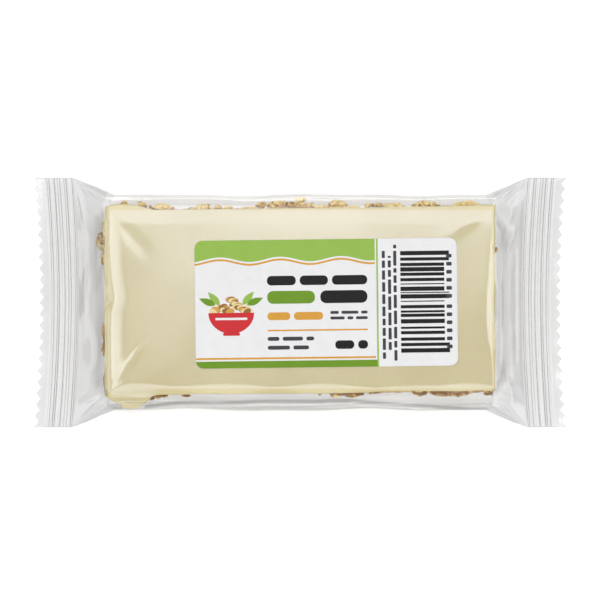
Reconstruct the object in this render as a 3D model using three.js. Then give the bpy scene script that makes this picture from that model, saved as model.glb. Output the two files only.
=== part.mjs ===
// A flow-wrapped oat bar lying on its back seal, label up.
//
// One tube of clear film holds the bar. Over the bar the tube is a soft-sided box. Past each end of the
// bar it closes to a flat crimped fin, whose cut edge is a row of teeth. The film's own edges are sealed
// together along the underside, in a back seal that lies flat. A printed label is stuck on top.
//
// Millimetres. +X runs along the bar, +Y across it and +Z up. The origin is on the surface that the
// pack lies on, below its middle.

import * as THREE from "three";

// The tube of film, laid flat.
const TEETH = 22; // along each fin's cut edge
const TOOTH_PITCH = 3.48;
const FILM_HALF = (TEETH * TOOTH_PITCH) / 2; // half the flat tube's width
const FILM_THICKNESS = 0.3; // both layers of a fin together

// The space that the bar fills.
const TOP_Z = 15;
const BACK_SEAL = 0.35; // how far the back seal stands below the rest of the underside
const BACK_SEAL_COLUMNS = { from: -2, to: 4 }; // the columns of film that it covers
const MIDDLE_Z = 7.6; // height of both fins and of the widest line of the sides
const BAR_END = 58.6; // where the film leaves the bar's top and underside at each end
const SIDE_END = 56.9; // where the sides begin to open out into the fins
const SIDE_HALF = 33.0; // half the width over the sides
const SIDE_WAVES = [
  { height: 0.3, length: 57, phase: { back: 0.6, front: 2.4 } },
  { height: 0.15, length: 27, phase: { back: 2, front: 0 } },
]; // slack in the sides
const WAVES_FADE = 35; // from the middle to where the slack starts to tighten towards the ends
const TOP_EDGES = { back: 29.6, front: -27.9 }; // the top's long edges
const BASE_EDGES = { back: 30.4, front: -28.8 }; // the same under the bar
const END_CURVE = 1.3; // 1 would make the film between bar and fin a flat slope

// The fins.
const CRIMP_START = 69.8; // from the middle to the first ridge, at a fin's corners
const BOW = 1.7; // how much closer to the bar that is at the fin's centre
const RIDGES = 5;
const RIDGE_PITCH = 1.78;
const RIDGE_HEIGHT = 0.3; // above and below the fin's middle
const FIN_DEPTH = 11.95; // first ridge to tooth tips
const TOOTH_DEPTH = 1.25;
const ROOT_MARGIN = 0.4; // flat film behind the teeth's roots
const FIN_TWIST = 0.7; // how far a fin's corners bend up or down

// The label.
const LABEL = { length: 80, width: 39, corner: 2.4, thickness: 0.15, x: 8, y: -0.2, turn: 0.7 };
const GLUE = 0.05; // between film and label
const CORNER_STEPS = 5;

// How finely the film is divided. A column of film is half a tooth wide on the fins.
const COLUMN = FILM_HALF / TEETH;
const SIDE_COLUMNS = 5; // from the bar's long edge to the pack's widest line
const FLAT_COLUMNS = TEETH - SIDE_COLUMNS; // from the pack's middle line to that edge
const BODY_STEPS = 10;
const END_STEPS = SIDE_COLUMNS; // so that the creases run from corner to corner of the quads

const lerp = (from, to, share) => from + (to - from) * share;

// Where one layer of film lies flat on the bar: its height and its long edges.
function layer(isTop) {
  const edges = isTop ? TOP_EDGES : BASE_EDGES;
  return {
    z: isTop ? TOP_Z : BACK_SEAL,
    ...edges,
    offset: (isTop ? 0.5 : -0.5) * FILM_THICKNESS,
  };
}

// How far the slack side stands out at x. The side is "back" or "front".
function sideHalf(x, side) {
  const slack = 1 - THREE.MathUtils.smoothstep(Math.abs(x), WAVES_FADE, SIDE_END);
  const wave = ({ height, length, phase }) => height * Math.sin((2 * Math.PI * x) / length + phase[side]);
  return SIDE_HALF + slack * SIDE_WAVES.reduce((sum, each) => sum + wave(each), 0);
}

// How far past the bar's long edge a column lies: 0 on the flat, 1 at the pack's widest line.
const pastEdge = (column) => Math.max(0, (Math.abs(column) - FLAT_COLUMNS) / SIDE_COLUMNS);

// How much lower the underside lies at this column, because of the back seal.
function sealDrop(column, share) {
  const onSeal = column >= BACK_SEAL_COLUMNS.from && column <= BACK_SEAL_COLUMNS.to;
  return onSeal ? BACK_SEAL * (1 - share) : 0;
}

// The film between the bar (share 0) and a fin's first ridge (share 1), at one column. Over the bar, share
// stays 0 and x moves on. A crease runs from the bar's corner, where share and beyond are both 0, to the
// fin's corner, where both are 1.
function bodyPoint(isTop, column, share, x) {
  const flat = layer(isTop);
  const side = column > 0 ? "back" : "front";
  const sign = Math.sign(column);
  const edge = flat[side];
  const beyond = pastEdge(column);
  const rise = flat.z - MIDDLE_Z;
  const reach = sideHalf(x, side) - Math.abs(edge);
  const flare = FILM_HALF - sideHalf(x, side);

  // Flat faces either side of the crease.
  const onFlat = (edge * Math.abs(column)) / FLAT_COLUMNS;
  const onSide = edge + sign * (beyond * reach + Math.min(share, beyond) * flare);
  const pastCrease = share > beyond ? (share - beyond) / (1 - beyond) : 0;
  let y = lerp(beyond > 0 ? onSide : onFlat, column * COLUMN, pastCrease);
  let z = MIDDLE_Z + rise * (1 - Math.max(share, beyond));

  // The side's round bulge, which dies out towards the fin.
  const turn = (beyond * Math.PI) / 2;
  y += sign * reach * (Math.sin(turn) - beyond) * (1 - share);
  z += rise * (Math.cos(turn) - (1 - beyond)) * (1 - share);

  // The top's soft end, which dies out towards the sides.
  z += rise * (share - share ** END_CURVE) * (1 - beyond);

  const drop = isTop ? 0 : sealDrop(column, share);
  return [y, z - drop + flat.offset * Math.max(share, beyond)];
}

// From the middle to a fin's first ridge.
function crimpStart(column) {
  const across = (column * COLUMN) / FILM_HALF;
  return CRIMP_START - BOW * (1 - across * across);
}

// Where the film leaves the bar and starts towards the fin.
const bodyEnd = (column) => lerp(BAR_END, SIDE_END, pastEdge(column));

// One ring of film: the top layer from the front edge to the back one, then the bottom layer back again.
// place(isTop, column) gives each point.
function ring(place) {
  const points = [];
  for (let c = -TEETH; c <= TEETH; c++) points.push(place(true, c));
  for (let c = TEETH; c >= -TEETH; c--) points.push(place(false, c));
  return points;
}

// A ring over the bar, a part of the way from its middle to one end.
function bodyRing(part) {
  return ring((isTop, column) => {
    const x = part * bodyEnd(column);
    return [x, ...bodyPoint(isTop, column, 0, x)];
  });
}

// A ring between the bar and the fin on one side.
function endRing(side, share) {
  return ring((isTop, column) => {
    const x = side * lerp(bodyEnd(column), crimpStart(column), share);
    return [x, ...bodyPoint(isTop, column, share, x)];
  });
}

// A ring on a fin, out from its first ridge, with the crimp's height there. Only the last ring has teeth.
function finRing(side, out, ridge, toothed) {
  return ring((isTop, column) => {
    const notch = toothed && Math.abs(column) % 2 === 1 ? TOOTH_DEPTH : 0;
    const across = (column * COLUMN) / FILM_HALF;
    const bend = FIN_TWIST * side * across ** 3 * (out / FIN_DEPTH);
    const x = side * (crimpStart(column) + out - notch);
    return [x, column * COLUMN, MIDDLE_Z + ridge + bend + layer(isTop).offset];
  });
}

// The rings from a fin's first ridge out to its teeth.
function finRings(side) {
  const rings = [];
  const halfRidges = 2 * RIDGES;
  for (let k = 1; k <= halfRidges; k++) {
    const height = k === halfRidges ? 0 : RIDGE_HEIGHT * (k % 2 ? 1 : -1);
    rings.push(finRing(side, (k * RIDGE_PITCH) / 2, height, false));
  }
  rings.push(finRing(side, FIN_DEPTH - TOOTH_DEPTH - ROOT_MARGIN, 0, false));
  rings.push(finRing(side, FIN_DEPTH, 0, true));
  return rings;
}

// The rings from the bar's end out to the teeth.
function endRings(side) {
  const rings = [];
  for (let i = 1; i <= END_STEPS; i++) rings.push(endRing(side, i / END_STEPS));
  return [...rings, ...finRings(side)];
}

// Whether the line from one point to the other leads straight towards or away from the pack's middle.
function isRadial([fromX, fromY], [toX, toY]) {
  return (Math.abs(toX) - Math.abs(fromX)) * (Math.abs(toY) - Math.abs(fromY)) > 0;
}

// A closed solid through rings of points, each ring joined to the next and the two last rings shut. The
// quads are split along their radial lines, which the creases follow.
function loft(rings) {
  const size = rings[0].length;
  const positions = rings.flat(2);
  const faces = [];
  const quad = (a, b, c, d) => faces.push(a, b, c, a, c, d);
  for (let r = 0; r + 1 < rings.length; r++) {
    for (let i = 0; i < size; i++) {
      const next = (i + 1) % size;
      const corners = [r * size + i, (r + 1) * size + i, (r + 1) * size + next, r * size + next];
      if (!isRadial(rings[r][i], rings[r + 1][next])) corners.push(corners.shift());
      quad(...corners);
    }
  }
  // Each end is a strip between the top layer's edge and the bottom layer's.
  const last = (rings.length - 1) * size;
  for (let i = 0; i + 1 < size / 2; i++) {
    const below = size - 1 - i;
    quad(i, i + 1, below - 1, below);
    quad(last + below, last + below - 1, last + i + 1, last + i);
  }
  const geometry = new THREE.BufferGeometry();
  geometry.setAttribute("position", new THREE.Float32BufferAttribute(positions, 3));
  geometry.setIndex(faces);
  geometry.computeVertexNormals();
  return geometry;
}

function makeWrapper() {
  const body = [];
  for (let i = 0; i <= BODY_STEPS; i++) body.push(bodyRing((2 * i) / BODY_STEPS - 1));
  const film = new THREE.MeshStandardMaterial({ color: 0xe6dfc0, roughness: 0.2, metalness: 0 });
  const mesh = new THREE.Mesh(loft([...endRings(-1).reverse(), ...body, ...endRings(1)]), film);
  mesh.name = "wrapper";
  return mesh;
}

function makeLabel() {
  const { length, width, corner, thickness, x, y, turn } = LABEL;
  const [right, up] = [0, Math.PI / 2];
  const [left, down] = [Math.PI, -Math.PI / 2];
  const outline = new THREE.Shape();
  const [farX, farY] = [length / 2 - corner, width / 2 - corner];
  outline.absarc(farX, farY, corner, right, up);
  outline.absarc(-farX, farY, corner, up, left);
  outline.absarc(-farX, -farY, corner, -left, down);
  outline.absarc(farX, -farY, corner, down, right);
  const options = { depth: thickness, bevelEnabled: false, curveSegments: CORNER_STEPS };
  const paper = new THREE.MeshStandardMaterial({ color: 0xeeeeee, roughness: 0.35, metalness: 0 });
  const mesh = new THREE.Mesh(new THREE.ExtrudeGeometry(outline, options), paper);
  mesh.name = "label";
  mesh.position.set(x, y, TOP_Z + GLUE);
  mesh.rotation.z = THREE.MathUtils.degToRad(turn);
  return mesh;
}

const pack = new THREE.Group();
pack.add(makeWrapper(), makeLabel());
export default pack;
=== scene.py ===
"""A sealed granola bar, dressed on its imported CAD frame.

The CAD holds two solids, the wrapper and the label. Here the wrapper becomes a skin of clear film with the
bar inside it: a base of pressed oats, the flakes that show on it, and a pale coating on top. The label gets
its print, as fields of colour.

Lengths are in millimetres until mesh_piece() turns them into metres. +X runs along the bar, +Y across it
towards the far side and +Z up.
"""

import math
import random
from itertools import product

import bpy
import numpy as np
from mathutils import Matrix, Vector, geometry, noise


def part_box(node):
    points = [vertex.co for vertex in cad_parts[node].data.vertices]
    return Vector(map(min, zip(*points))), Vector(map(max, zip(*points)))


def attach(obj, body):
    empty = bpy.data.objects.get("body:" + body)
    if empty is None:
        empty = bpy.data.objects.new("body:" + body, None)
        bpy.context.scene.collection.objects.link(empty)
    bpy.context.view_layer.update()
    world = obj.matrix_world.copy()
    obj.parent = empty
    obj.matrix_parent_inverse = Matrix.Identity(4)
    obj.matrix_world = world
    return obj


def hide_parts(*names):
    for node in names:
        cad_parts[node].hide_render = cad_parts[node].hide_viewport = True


MM = 0.001
SEED = 7

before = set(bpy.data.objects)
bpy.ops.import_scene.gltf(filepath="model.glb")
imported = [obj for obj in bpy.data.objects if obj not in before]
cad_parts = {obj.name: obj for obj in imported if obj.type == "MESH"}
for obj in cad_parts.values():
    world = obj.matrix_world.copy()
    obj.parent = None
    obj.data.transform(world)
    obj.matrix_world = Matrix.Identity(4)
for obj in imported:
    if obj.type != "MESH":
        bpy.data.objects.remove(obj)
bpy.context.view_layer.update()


def box_mm(node):
    """The low and the high corner of a node's box, in millimetres."""
    return np.array(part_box(node)) / MM


_, WRAPPER_HIGH = box_mm("wrapper")
LABEL_LOW, LABEL_HIGH = box_mm("label")

# ----------------------------------------
# Sizes. These are the wrapper's own, as its solid has them, but for three that only shape its film here:
# SHOULDERS, SIDE_SLOPES and the curve of the right end.

TEETH = 22
TIP_X = WRAPPER_HIGH[0]
FILM_HALF = WRAPPER_HIGH[1]
COLUMN = FILM_HALF / TEETH
SIDE_COLUMNS = 5
FLAT_COLUMNS = TEETH - SIDE_COLUMNS
FILM_THICKNESS = 0.3

TOP_Z = WRAPPER_HIGH[2]
BACK_SEAL = 0.35
BACK_SEAL_COLUMNS = (-2, 4)
MIDDLE_Z = 7.6
BAR_END = 58.6
SIDE_END = 56.9
SIDE_HALF = 33.0
SIDE_WAVES = (
    {"height": 0.3, "length": 57, "back": 0.6, "front": 2.4},
    {"height": 0.15, "length": 27, "back": 2, "front": 0},
)
WAVES_FADE = 35
TOP_EDGES = {"back": 29.6, "front": -27.9}
BASE_EDGES = {"back": 30.4, "front": -28.8}
SHOULDERS = {"back": 4.0, "front": 3.0}  # 2 would round the sides like an ellipse; more is squarer
SIDE_SLOPES = {"back": 0.14, "front": 0.15}  # share of a side's fall that is a straight slope
END_CURVES = {"left": 1.3, "right": 1.6}  # 1 would make the film past the bar a flat slope
FIN_DEPTH = 11.95
CRIMP_START = TIP_X - FIN_DEPTH
BOW = 1.7
RIDGES = 5
RIDGE_PITCH = 1.78
RIDGE_HEIGHT = 0.3
TOOTH_DEPTH = 1.25
FIN_TWIST = 0.7

# ----------------------------------------
# Small helpers.


def lerp(start, end, share):
    return start + (end - start) * share


def smooth(low, high, value):
    t = np.clip((np.asarray(value, float) - low) / (high - low), 0, 1)
    return t * t * (3 - 2 * t)


def window(rise, fall, value):
    """0, then 1 between the slopes that run over the pairs rise and fall, then 0 again."""
    return smooth(*rise, value) * (1 - smooth(*fall, value))


def bump(value, centre, width):
    """A smooth hump, 1 at the centre."""
    return np.exp(-(((value - centre) / width) ** 2))


def noise_at(points, size, seed=0.0):
    """Smooth noise from -1 to 1 at each point, for features of about this size."""
    flat = np.asarray(points, float).reshape(-1, 3) / size + seed
    values = np.array([noise.noise(Vector(p)) for p in flat])
    return values.reshape(np.shape(points)[:-1])


def noise_over(x, y, z, size, seed=0.0):
    """The same from separate coordinates, any of which may be a single number."""
    return noise_at(np.stack(np.broadcast_arrays(x, y, z), axis=-1), size, seed)


def mesh_piece(name, points, faces, materials, shade_smooth=True, indices=None):
    """A mesh from points in millimetres, riding on the root body."""
    mesh = bpy.data.meshes.new(name)
    mesh.from_pydata((np.asarray(points, float) * MM).tolist(), [], faces)
    for material in materials:
        mesh.materials.append(material)
    if indices is not None:
        mesh.polygons.foreach_set("material_index", indices)
    mesh.polygons.foreach_set("use_smooth", [shade_smooth] * len(mesh.polygons))
    mesh.update()
    piece = bpy.data.objects.new(name, mesh)
    bpy.context.scene.collection.objects.link(piece)
    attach(piece, "root")
    return piece


def oat_piece(name, points, faces, material, tones):
    """A mesh of oats, with a tone for each of its points."""
    piece = mesh_piece(name, points, faces, [material])
    piece.data.attributes.new("tone", "FLOAT", "POINT").data.foreach_set("value", tones)


def grid_faces(rows, columns, close_columns=False):
    """Quads over a grid of points that is stored row after row."""
    faces = []
    for r in range(rows - 1):
        for c in range(columns if close_columns else columns - 1):
            n = (c + 1) % columns
            faces.append((r * columns + c, (r + 1) * columns + c, (r + 1) * columns + n, r * columns + n))
    return faces


# ----------------------------------------
# Materials.

MILKY = (0.9, 0.9, 0.9, 1)  # the colour of the film's haze
STREAKS = 3.4  # how strongly an oat flake is streaked


def srgb(red, green, blue):
    """The linear colour of an 8-bit sRGB one."""

    def linear(value):
        value /= 255
        return value / 12.92 if value <= 0.04045 else ((value + 0.055) / 1.055) ** 2.4

    return (linear(red), linear(green), linear(blue), 1)


def greys(*stops):
    """Ramp stops from (position, value) pairs."""
    return [(position, (value, value, value, 1)) for position, value in stops]


def film_tints(*stops):
    """Ramp stops for the film's own colour, which is faintly blue."""
    return [(position, (value * 0.996, value, min(1, value * 1.004), 1)) for position, value in stops]


def new_material(name):
    material = bpy.data.materials.new(name)
    material.use_nodes = True
    material.node_tree.nodes.clear()
    return material, material.node_tree


def finish_material(tree, shader):
    output = tree.nodes.new("ShaderNodeOutputMaterial")
    tree.links.new(shader, output.inputs["Surface"])


def add_node(tree, kind, inputs, output=0, **settings):
    """One output of a new node. Each of its inputs is given a value or another node's output."""
    node = tree.nodes.new("ShaderNode" + kind)
    for name, value in settings.items():
        setattr(node, name, value)
    for socket, value in inputs.items():
        if isinstance(value, bpy.types.NodeSocket):
            tree.links.new(value, node.inputs[socket])
        else:
            node.inputs[socket].default_value = value
    return node.outputs[output]


def noise_node(tree, scale, detail):
    """Noise in the object's own space, where scale is features per metre."""
    where = add_node(tree, "TexCoord", {}, "Object")
    return add_node(tree, "TexNoise", {"Vector": where, "Scale": scale, "Detail": detail}, "Fac")


def bump_node(tree, scale, detail, depth):
    """The normals of a relief of noise."""
    return add_node(tree, "Bump", {"Height": noise_node(tree, scale, detail), "Distance": depth * MM})


def ramp_node(tree, source, stops):
    """A colour ramp through (position, colour) stops."""
    ramp = tree.nodes.new("ShaderNodeValToRGB")
    elements = ramp.color_ramp.elements
    while len(elements) < len(stops):
        elements.new(0.5)
    for element, (position, colour) in zip(elements, stops):
        element.position = position
        element.color = colour
    tree.links.new(source, ramp.inputs["Fac"])
    return ramp.outputs["Color"]


def scaled_node(tree, source, factor, offset):
    """source * factor + offset, where offset is a number or another node's output."""
    return add_node(tree, "Math", {0: source, 1: factor, 2: offset}, operation="MULTIPLY_ADD")


def across_line_node(tree, axes, line, reach, tones):
    """Grey tones over the distance from a line of (along, across) points, from reach below to reach above it.

    axes names the object's axes that the line runs along and across.
    """
    alongs, acrosses = zip(*line)
    first, length = alongs[0], alongs[-1] - alongs[0]
    low, high = min(acrosses), max(acrosses)
    where = add_node(tree, "TexCoord", {}, "Object")
    along, across = (add_node(tree, "SeparateXYZ", {"Vector": where}, axis) for axis in axes)
    share = scaled_node(tree, along, 1 / (length * MM), -first / length)
    course = (((a - first) / length, (b - low) / (high - low)) for a, b in line)
    on_line = ramp_node(tree, share, greys(*course))
    offset = scaled_node(tree, on_line, (low - high) / (2 * reach), 0.5 - low / (2 * reach))
    distance = scaled_node(tree, across, 1 / (2 * reach * MM), offset)
    return ramp_node(tree, distance, greys(*tones))


def film_material(name, tint, shine, haze, roughness, relief, sheen=(1, 1, 1, 1), painted_light=None):
    """Clear film. It dims what is behind it and shines, and does both more where it is seen edge on.

    tint and shine are stops over how far the film is turned from the eye: 0 is square on and 1 edge on.
    haze is how milky it is, and relief how deep its fine unevenness is. Its last argument, if given, has the
    arguments of across_line_node(), for painted shade and painted highlights along a line, multiplied into
    what the film lets through.
    """
    material, tree = new_material(name)
    turned_away = add_node(tree, "LayerWeight", {"Blend": 0.5}, "Facing")
    dimmed = ramp_node(tree, turned_away, tint)
    # Painted shade and painted highlights across a line, multiplied into the tint.
    if painted_light:
        painted_tone = across_line_node(tree, **painted_light)
        dimmed = add_node(tree, "VectorMath", {0: dimmed, 1: painted_tone}, operation="MULTIPLY")
    through = add_node(tree, "BsdfTransparent", {"Color": dimmed})
    milky = add_node(tree, "BsdfDiffuse", {"Color": MILKY})
    clouded = add_node(tree, "MixShader", {"Fac": haze, 1: through, 2: milky})
    uneven = bump_node(tree, 220, 3, relief)
    gloss = add_node(tree, "BsdfGlossy", {"Color": sheen, "Roughness": roughness, "Normal": uneven})
    film = add_node(tree, "MixShader", {"Fac": ramp_node(tree, turned_away, shine), 1: clouded, 2: gloss})
    finish_material(tree, film)
    return material


def opaque_material(name, roughness, specular, relief, pattern, stops, toned=False):
    """An opaque material. Its colours are a ramp over a pattern of noise.

    pattern is the noise's scale and detail, and relief the same with a depth in millimetres. A toned one
    adds the mesh's own tones to the pattern.
    """
    material, tree = new_material(name)
    source = noise_node(tree, *pattern)
    if toned:
        tone = add_node(tree, "Attribute", {}, "Fac", attribute_name="tone")
        source = scaled_node(tree, source, STREAKS, tone)
    inputs = {
        "Base Color": ramp_node(tree, source, stops),
        "Roughness": roughness,
        "Specular IOR Level": specular,
        "Normal": bump_node(tree, *relief),
    }
    finish_material(tree, add_node(tree, "BsdfPrincipled", inputs))
    return material


def coating_material():
    """Yogurt coating: a pale cream, slightly mottled, with a soft sheen."""
    stops = ((0.3, srgb(213, 199, 149)), (0.7, srgb(221, 208, 160)))
    return opaque_material("yogurt_coating", 0.5, 0.15, (500, 4, 0.12), (60, 3), stops)


def oat_material(name, dark, middle, light):
    """Baked oat: each flake has its own tone, from the mesh, with fine streaks and a floury surface."""
    stops = ((0.0, dark), (0.5, middle), (1.0, light))
    return opaque_material(name, 0.75, 0.5, (1500, 4, 0.3), (1300, 5), stops, toned=True)


def ink_material(name, colour):
    """Print on coated paper: almost flat, with a trace of the paper's own unevenness."""
    light = tuple(min(1, value * 1.04) for value in colour[:3]) + (1,)
    return opaque_material(name, 0.45, 0.15, (1200, 2, 0.02), (300, 3), ((0.35, colour), (0.65, light)))


def floor_material():
    """A pale floor that glows a little, so that it comes out white with the pack's shade still on it."""
    material, tree = new_material("floor_white")
    pale = add_node(tree, "BsdfDiffuse", {"Color": (0.58, 0.58, 0.58, 1)})
    glow = add_node(tree, "Emission", {"Strength": 0.45})
    finish_material(tree, add_node(tree, "AddShader", {0: pale, 1: glow}))
    return material


# ----------------------------------------
# The film. Its grid has a ring of points for each step along X and, round each ring, the top layer's
# columns from front to back and then the bottom layer's from back to front.

COARSE_COLUMN = 0.5  # steps across the middle, in columns
FINE_COLUMN = 0.25  # and near the sides
FINE_FROM = 13
COARSE_X = 2.0  # steps along the bar's middle, in millimetres
FINE_X = 0.62  # and near its ends
FINE_X_FROM = 40
END_RINGS = 44
FIN_RINGS = 80
PILLOW = {"back": 0.55, "front": 0.55, "left": 0.36}  # how far the film's flat top sinks at the bar's edges
PILLOW_WIDTHS = {"back": 5.5, "front": 3.1, "left": 4.4}
PILLOW_POWER = 1.35  # 1 would make these edges flat slopes
FRONT_WAVE = {"share": 0.5, "size": 15}  # how much the front one's width varies, and over what length
# Where the flat top ends at the bar's two ends, as (y, x). It slopes down from there.
LEFT_LINE = (
    (-29.0, -57.7), (-16.6, -57.9), (-7.8, -57.9), (-2.6, -57.8), (0.8, -56.5), (5.0, -57.3), (9.9, -57.9),
    (16.0, -58.3), (27.0, -58.5),
)
RIGHT_LINE = (
    (-25.0, 59.0), (-16.3, 58.6), (-11.6, 57.3), (-5.3, 56.7), (3.9, 56.9), (13.3, 57.6), (22.9, 58.3),
    (29.0, 58.8),
)
END_SLOPES = {"left": 0.34, "right": 0.14}
END_REACHES = {"left": 2, "right": 3}  # how far out each slope goes
SLACK = {"height": 0.05, "size": 21}  # the slow unevenness of the flat top
CROWN = {"height": 0.38, "reach": 28}  # how much lower the flat top is at its long edges than in between
LEFT_FALL = {"height": 0.3, "from": -38, "reach": 20}  # and at its left end

# Painted shade and painted highlights on the film: how bright each line makes the film, multiplied into what
# it lets through. They stand in for folds sharper or softer than the film's mesh can be, and for the bar's
# shade on the film past its ends. The first runs along the front side, the others beside the bar's ends.
# Painted shade of a dark fold line along the front side, with painted highlights beside it and over the
# coating's rim.
FRONT_FOLD_PAINTED_LIGHT = {
    "axes": "XY",
    "line": (
        (-52, -32.4), (-45.7, -31.7), (-39.4, -30.8), (-33, -30.5), (-18.2, -30.5), (-13, -30.2),
        (6.1, -30.2), (9.1, -30.0), (15.2, -30.0), (21.2, -30.5), (25.8, -30.8), (30.3, -31.1),
        (34.9, -31.4), (39.4, -31.7), (46, -32.2), (52, -32.8),
    ),
    "reach": 1.6,
    "tones": (
        (0.03, 1.0), (0.14, 1.18), (0.23, 1.14), (0.33, 0.85), (0.41, 0.69), (0.62, 0.66), (0.7, 1.0),
        (1.0, 1.07),
    ),
}
# Painted shade on the film next to the bar's left end.
LEFT_END_PAINTED_SHADE = {
    "axes": "YX",
    "line": (
        (-33, -56), (-29, -56.4), (-25, -60.6), (-21, -61.1), (-10, -61.1), (-6, -60.4), (1, -60.3),
        (5, -61.0), (14, -61.4), (22, -61.2), (26, -60.4), (30, -56.4), (33, -56),
    ),
    "reach": 4.0,
    "tones": (
        (0.0, 1.02), (0.12, 1.0), (0.24, 0.93), (0.35, 0.85), (0.5, 0.8), (0.58, 0.85), (0.68, 1.0),
        (1.0, 1.0),
    ),
}
# Painted shade on the film next to the bar's right end, and a painted highlight further out.
RIGHT_END_PAINTED_SHADE_AND_HIGHLIGHT = {
    "axes": "YX",
    "line": (
        (-33, 56), (-29, 57), (-23, 62.4), (-17, 63.2), (-3, 63.1), (4, 62.7), (13, 63.0), (22, 62.6),
        (28, 57.4), (33, 56),
    ),
    "reach": 4.0,
    "tones": (
        (0.0, 1.0), (0.3, 1.0), (0.38, 0.8), (0.5, 0.84), (0.62, 0.93), (0.75, 1.04), (0.88, 1.12),
        (1.0, 1.06),
    ),
}

# Folds in the flat top: ends, half widths to the left and right of the line, and height. Each starts sharp
# at a corner of the bar, and is this wide at its far end.
TOP_FOLDS = (
    ((-58.4, -26.4), (-44.5, -8.0), 1.1, 2.2, 0.26),
    ((-60.0, -29.4), (-33.0, -15.0), 9.0, 6.5, 0.22),
    ((-60.0, 29.6), (-43.6, 11.4), 2.8, 2.4, -0.22),
    ((60.2, 29.6), (40.0, 17.4), 2.8, 2.8, 0.2),
    ((16.0, -26.6), (44.0, -26.2), 1.6, 2.4, 0.08),
    ((60.0, -28.6), (47.0, -17.0), 1.8, 3.4, 0.04),
    ((-61.0, -31.4), (-42.0, -31.4), 2.0, 2.0, 1.0),
)
# Folds in the film past the bar's ends: ends, half width and height.
END_FOLDS = (
    ((-69.0, 37.6), (-57.0, 32.0), 0.45, -0.46),
    ((-67.6, 36.2), (-59.6, 28.4), 0.4, -0.57),
    ((-66.5, 34.0), (-60.5, 28.0), 0.35, -0.34),
    ((-69.4, 36.0), (-66.8, 21.5), 0.6, -0.3),
    ((-65.8, 12.5), (-66.0, -1.0), 0.5, 0.36),
    ((-64.6, 8.0), (-65.2, -9.0), 2.4, 0.4),
    ((-62.2, 26.0), (-62.6, 6.0), 1.6, -0.3),
    ((-64.4, -7.5), (-64.2, -21.5), 1.6, -0.34),
    ((-59.8, -27.2), (-68.4, -31.2), 0.9, -0.61),
    ((-58.6, -29.6), (-68.0, -35.6), 0.35, -0.32),
    ((-57.4, -30.6), (-67.6, -36.6), 0.5, -0.57),
    ((-56.4, -32.4), (-68.4, -37.4), 0.4, -0.41),
    ((60.0, 29.2), (69.6, 37.2), 0.45, -0.57),
    ((57.5, 31.6), (68.6, 37.6), 0.4, -0.41),
    ((61.4, 28.0), (68.8, 35.0), 0.35, -0.27),
    ((65.6, 29.6), (61.8, 22.4), 1.3, 0.6),
    ((66.4, 24.0), (63.0, 15.0), 0.7, 0.35),
    ((60.8, 25.0), (60.6, -26.0), 1.2, 0.42),
    ((66.2, 26.0), (66.4, -28.0), 0.7, -0.3),
    ((62.2, -21.5), (65.6, -31.4), 1.3, 0.68),
    ((60.2, -28.4), (68.6, -37.4), 0.45, -0.57),
    ((57.5, -31.8), (68.0, -37.6), 0.4, -0.41),
)

# Slack, in millimetres.
PLEAT = 0.34  # height of the pleats between bar and fin
FINE_PLEAT = 0.07
SIDE_STREAKS = {"back": 0.26, "front": 0.4}
FRONT_CREASE = {"y": -30.55, "depth": 0.2}
GROOVE_POWER = 2.2  # 1 would make the crimp a plain wave, and more makes its grooves narrower
FLUTTER = 0.26
FLUTTER_FROM = 8.5  # how far out on a fin that begins
TEETH_REACH = 2.2  # how far back from the tips the teeth begin to show in the mesh

# What each kind of film lets through and how much it shines, for film_material().
BAR_TINTS = film_tints((0.0, 0.88), (0.03, 0.89), (0.2, 0.96), (0.6, 0.97), (0.85, 0.92), (1.0, 0.75))
BAR_SHINE = greys((0.0, 0.09), (0.3, 0.08), (0.7, 0.06), (0.9, 0.2), (1.0, 0.5))
LOOSE_TINTS = film_tints((0.0, 0.88), (0.2, 0.84), (0.42, 0.74), (0.6, 0.77), (0.85, 0.78), (1.0, 0.62))
LOOSE_SHINE = greys(
    (0.0, 0.02), (0.12, 0.025), (0.24, 0.065), (0.35, 0.1), (0.7, 0.16), (0.9, 0.3), (1.0, 0.6)
)
SIDE_TINTS = film_tints((0.0, 0.9), (0.08, 0.95), (0.5, 0.92), (0.85, 0.88), (1.0, 0.76))
SIDE_SHINE = greys((0.0, 0.035), (0.3, 0.07), (0.7, 0.25), (1.0, 0.6))
CRIMP_TINTS = greys(
    (0.0, 0.86), (0.015, 0.88), (0.03, 0.94), (0.12, 0.86), (0.25, 0.66), (0.5, 0.76), (1.0, 0.72)
)
CRIMP_SHINE = greys((0.0, 0.015), (0.02, 0.04), (0.1, 0.06), (0.35, 0.09), (0.7, 0.2), (1.0, 0.6))
ON_BAR, LOOSE, CRIMPED, ON_SIDE, ON_FRONT, ON_SEAL, AT_LEFT, AT_RIGHT = range(8)
SIDE_FROM = FLAT_COLUMNS - 0.8  # the column from which film counts as the side's
NEAR_BAR = 0.12  # the share of the way to the fin that still counts as the bar's
# Where the film clings to the coating's drip: half_x is half its length at the middle of its width.
DRIP = {"x": -51.5, "half_x": 5.98, "y": -29.2, "half_y": 3.6, "slope": 0.85}


def along_and_across(start, end, x, y):
    """Each place's distance along a line and to the right of it, and the line's length."""
    (x0, y0), (x1, y1) = start, end
    length = math.hypot(x1 - x0, y1 - y0)
    along = ((x - x0) * (x1 - x0) + (y - y0) * (y1 - y0)) / length
    across = ((x - x0) * (y1 - y0) - (y - y0) * (x1 - x0)) / length
    return along, across, length


def end_folds_at(x, y):
    """The height of the folds past the bar's ends. A crease runs thin at both ends of its line."""
    total = np.zeros(np.broadcast(x, y).shape)
    for start, end, width, height in END_FOLDS:
        along, across, length = along_and_across(start, end, x, y)
        ramp = length * 0.45
        fade = window((-0.5, ramp), (length - ramp, length + 0.5), along)
        total = total + height * fade * bump(across, 0, width)
    return total


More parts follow.
